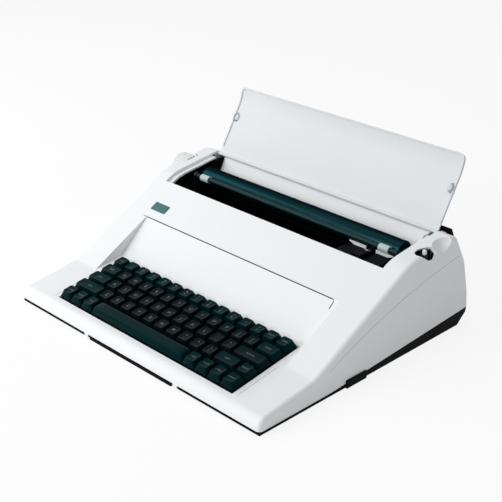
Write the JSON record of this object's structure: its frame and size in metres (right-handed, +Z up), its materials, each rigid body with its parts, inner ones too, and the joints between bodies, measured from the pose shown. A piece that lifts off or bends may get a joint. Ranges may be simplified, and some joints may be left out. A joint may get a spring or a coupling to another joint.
{
  "type": "portable typewriter",
  "caption": "Portable electronic typewriter with a wedge case, keyboard, platen well, print carriage on rods, paper bail and a flip-up paper lid.",
  "frame": {"origin": "on the table under the middle of the machine's bounding box", "axes": "+X to the typist's right along the keyboard, +Y from the typist to the rear, +Z up"},
  "size_m": [0.4068, 0.3414, 0.1957],
  "materials": {
    "cover_plastic": "fine moulded texture",
    "lid_plastic": "frosted, slightly translucent",
    "base_plastic": "moulded texture",
    "handle_plastic": "satin",
    "foot_rubber": "matt",
    "screw_steel": "zinc plated",
    "key_plastic": "fine texture, dark green-black",
    "red_key_plastic": "fine texture, dark red",
    "frame_plastic": "satin",
    "board_laminate": "lacquered laminate",
    "plate_steel": "blackened sheet steel",
    "rod_steel": "ground",
    "platen_rubber": "ground rubber",
    "gear_plastic": "acetal",
    "knob_plastic": "moulded",
    "motor_steel": "plated can",
    "bail_steel": "black",
    "roller_plastic": "white",
    "lever_plastic": "moulded",
    "carriage_plastic": "glass filled",
    "wheel_plastic": "moulded",
    "guide_plastic": "milky white",
    "belt_rubber": "ribbed",
    "core_steel": "varnished laminations"
  },
  "bodies": {
    "case": {"top_cover": "cover_plastic", "base_pan": "base_plastic", "rubber_feet": "foot_rubber", "case_screws": "screw_steel", "side_catches": "base_plastic", "vent_strip": "base_plastic", "paper_chute": "cover_plastic", "key_frame": "frame_plastic", "keyboard_board": "board_laminate", "chassis_tray": "plate_steel", "guide_rods": "rod_steel", "feed_motor": "motor_steel", "paper_pan": "plate_steel", "drive_motor": "motor_steel", "carriage_belt": "belt_rubber", "main_board": "board_laminate", "transformer": "core_steel", "power_inlet": "base_plastic", "left_side_plate": "plate_steel", "right_side_plate": "plate_steel"},
    "lid": {"paper_lid": "lid_plastic"},
    "handle": {"carry_handle": "handle_plastic"},
    "platen": {"platen_roller": "platen_rubber", "platen_shaft": "rod_steel", "platen_gear": "gear_plastic", "left_knob": "knob_plastic"},
    "idler": {"idler_gear": "gear_plastic"},
    "pinion": {"motor_pinion": "gear_plastic"},
    "feed": {"feed_rollers": "belt_rubber"},
    "bail": {"bail_bar": "bail_steel"},
    "bail_wheels": {"bail_rollers": "roller_plastic"},
    "lever": {"release_lever": "lever_plastic"},
    "carriage": {"carriage_frame": "carriage_plastic", "wheel_motor": "motor_steel", "hammer_coil": "carriage_plastic", "ribbon_cassette": "carriage_plastic", "card_guide": "guide_plastic"},
    "wheel": {"print_wheel": "wheel_plastic"},
    "hammer": {"print_hammer": "rod_steel"},
    "motor_pulley": {"drive_pulley": "gear_plastic"},
    "end_pulley": {"belt_idler": "gear_plastic"},
    "switch": {"power_switch": "base_plastic"},
    "space_bar": {"space_bar": "key_plastic"},
    "left_front_keys": {"left_front_keys": "key_plastic"},
    "right_front_keys": {"right_front_keys": "key_plastic"},
    "left_shift_key": {"left_shift_key": "key_plastic"},
    "lower_letter_keys": {"lower_letter_keys": "key_plastic"},
    "right_shift_key": {"right_shift_key": "key_plastic"},
    "relocate_key": {"relocate_key": "key_plastic"},
    "shift_lock_key": {"shift_lock_key": "key_plastic"},
    "home_letter_keys": {"home_letter_keys": "key_plastic"},
    "return_key": {"return_key": "red_key_plastic"},
    "tab_key": {"tab_key": "key_plastic"},
    "upper_letter_keys": {"upper_letter_keys": "key_plastic"},
    "index_key": {"index_key": "key_plastic"},
    "margin_key": {"margin_key": "key_plastic"},
    "number_row_keys": {"number_row_keys": "key_plastic"},
    "backspace_key": {"backspace_key": "key_plastic"},
    "correction_key": {"correction_key": "key_plastic"}
  },
  "joints": [
    {"name": "lid_hinge", "type": "hinge", "parent": "case", "child": "lid", "pos_m": [0.0046, 0.1272, 0.1156], "axis": [1, 0, 0], "range_deg": [0, 128]},
    {"name": "handle_slide", "type": "slide", "parent": "case", "child": "handle", "axis": [0, -1, 0], "range_m": [0, 0.034]},
    {"name": "platen_spin", "type": "hinge", "parent": "case", "child": "platen", "pos_m": [0.0046, 0.0927, 0.0975], "axis": [1, 0, 0], "continuous": true},
    {"name": "idler_spin", "type": "hinge", "parent": "case", "child": "idler", "pos_m": [0.1856, 0.0927, 0.0734], "axis": [1, 0, 0], "continuous": true},
    {"name": "pinion_spin", "type": "hinge", "parent": "case", "child": "pinion", "pos_m": [0.1856, 0.0927, 0.0543], "axis": [1, 0, 0], "continuous": true},
    {"name": "feed_spin", "type": "hinge", "parent": "case", "child": "feed", "pos_m": [0.0046, 0.1053, 0.0849], "axis": [1, 0, 0], "continuous": true},
    {"name": "bail_swing", "type": "hinge", "parent": "case", "child": "bail", "pos_m": [0.0046, 0.0747, 0.082], "axis": [1, 0, 0], "range_deg": [0, 18], "stiffness_Nm_per_rad": 0.12, "springref_deg": -17.19},
    {"name": "bail_roll", "type": "hinge", "parent": "bail", "child": "bail_wheels", "pos_m": [0.0046, 0.0757, 0.1025], "axis": [1, 0, 0], "continuous": true},
    {"name": "lever_swing", "type": "hinge", "parent": "case", "child": "lever", "pos_m": [0.1936, 0.0927, 0.0734], "axis": [1, 0, 0], "range_deg": [0, 10]},
    {"name": "carriage_slide", "type": "slide", "parent": "case", "child": "carriage", "axis": [-1, 0, 0], "range_m": [0, 0.243]},
    {"name": "wheel_spin", "type": "hinge", "parent": "carriage", "child": "wheel", "pos_m": [0.1296, 0.0777, 0.0665], "axis": [0, 1, 0], "continuous": true},
    {"name": "hammer_strike", "type": "slide", "parent": "carriage", "child": "hammer", "axis": [0, 1, 0], "range_m": [0, 0.0021], "stiffness_N_per_m": 120, "springref_m": -0.001},
    {"name": "motor_pulley_spin", "type": "hinge", "parent": "case", "child": "motor_pulley", "pos_m": [0.1526, 0.0607, 0.035], "axis": [0, 0, 1], "continuous": true},
    {"name": "end_pulley_spin", "type": "hinge", "parent": "case", "child": "end_pulley", "pos_m": [-0.1434, 0.0607, 0.035], "axis": [0, 0, 1], "continuous": true},
    {"name": "switch_rock", "type": "hinge", "parent": "case", "child": "switch", "pos_m": [-0.1874, 0.1187, 0.045], "axis": [0, 1, 0], "range_deg": [0, 16]},
    {"name": "space_press", "type": "slide", "parent": "case", "child": "space_bar", "axis": [0, 0.1483, -0.9889], "range_m": [0, 0.0035], "stiffness_N_per_m": 320, "springref_m": -0.0015},
    {"name": "left_front_press", "type": "slide", "parent": "case", "child": "left_front_keys", "axis": [0, 0.1483, -0.9889], "range_m": [0, 0.0035], "stiffness_N_per_m": 480, "springref_m": -0.0015},
    {"name": "right_front_press", "type": "slide", "parent": "case", "child": "right_front_keys", "axis": [0, 0.1483, -0.9889], "range_m": [0, 0.0035], "stiffness_N_per_m": 640, "springref_m": -0.0015},
    {"name": "left_shift_press", "type": "slide", "parent": "case", "child": "left_shift_key", "axis": [0, 0.1483, -0.9889], "range_m": [0, 0.0035], "stiffness_N_per_m": 160, "springref_m": -0.0015},
    {"name": "lower_letter_press", "type": "slide", "parent": "case", "child": "lower_letter_keys", "axis": [0, 0.1483, -0.9889], "range_m": [0, 0.0035], "stiffness_N_per_m": 1600, "springref_m": -0.0015},
    {"name": "right_shift_press", "type": "slide", "parent": "case", "child": "right_shift_key", "axis": [0, 0.1483, -0.9889], "range_m": [0, 0.0035], "stiffness_N_per_m": 160, "springref_m": -0.0015},
    {"name": "relocate_press", "type": "slide", "parent": "case", "child": "relocate_key", "axis": [0, 0.1483, -0.9889], "range_m": [0, 0.0035], "stiffness_N_per_m": 160, "springref_m": -0.0015},
    {"name": "shift_lock_press", "type": "slide", "parent": "case", "child": "shift_lock_key", "axis": [0, 0.1483, -0.9889], "range_m": [0, 0.0035], "stiffness_N_per_m": 160, "springref_m": -0.0015},
    {"name": "home_letter_press", "type": "slide", "parent": "case", "child": "home_letter_keys", "axis": [0, 0.1483, -0.9889], "range_m": [0, 0.0035], "stiffness_N_per_m": 1760, "springref_m": -0.0015},
    {"name": "return_press", "type": "slide", "parent": "case", "child": "return_key", "axis": [0, 0.1483, -0.9889], "range_m": [0, 0.0035], "stiffness_N_per_m": 160, "springref_m": -0.0015},
    {"name": "tab_press", "type": "slide", "parent": "case", "child": "tab_key", "axis": [0, 0.1483, -0.9889], "range_m": [0, 0.0035], "stiffness_N_per_m": 160, "springref_m": -0.0015},
    {"name": "upper_letter_press", "type": "slide", "parent": "case", "child": "upper_letter_keys", "axis": [0, 0.1483, -0.9889], "range_m": [0, 0.0035], "stiffness_N_per_m": 1920, "springref_m": -0.0015},
    {"name": "index_press", "type": "slide", "parent": "case", "child": "index_key", "axis": [0, 0.1483, -0.9889], "range_m": [0, 0.0035], "stiffness_N_per_m": 160, "springref_m": -0.0015},
    {"name": "margin_press", "type": "slide", "parent": "case", "child": "margin_key", "axis": [0, 0.1483, -0.9889], "range_m": [0, 0.0035], "stiffness_N_per_m": 160, "springref_m": -0.0015},
    {"name": "number_row_press", "type": "slide", "parent": "case", "child": "number_row_keys", "axis": [0, 0.1483, -0.9889], "range_m": [0, 0.0035], "stiffness_N_per_m": 1920, "springref_m": -0.0015},
    {"name": "backspace_press", "type": "slide", "parent": "case", "child": "backspace_key", "axis": [0, 0.1483, -0.9889], "range_m": [0, 0.0035], "stiffness_N_per_m": 160, "springref_m": -0.0015},
    {"name": "correction_press", "type": "slide", "parent": "case", "child": "correction_key", "axis": [0, 0.1483, -0.9889], "range_m": [0, 0.0035], "stiffness_N_per_m": 160, "springref_m": -0.0015}
  ],
  "couplings": [
    {"joint": "idler_spin", "follows": "platen_spin", "ratio": -0.84615},
    {"joint": "pinion_spin", "follows": "platen_spin", "ratio": 1.8333},
    {"joint": "feed_spin", "follows": "platen_spin", "ratio": -2.5},
    {"joint": "motor_pulley_spin", "follows": "carriage_slide", "rad_per_m": -115.6},
    {"joint": "end_pulley_spin", "follows": "carriage_slide", "rad_per_m": -115.6}
  ]
}
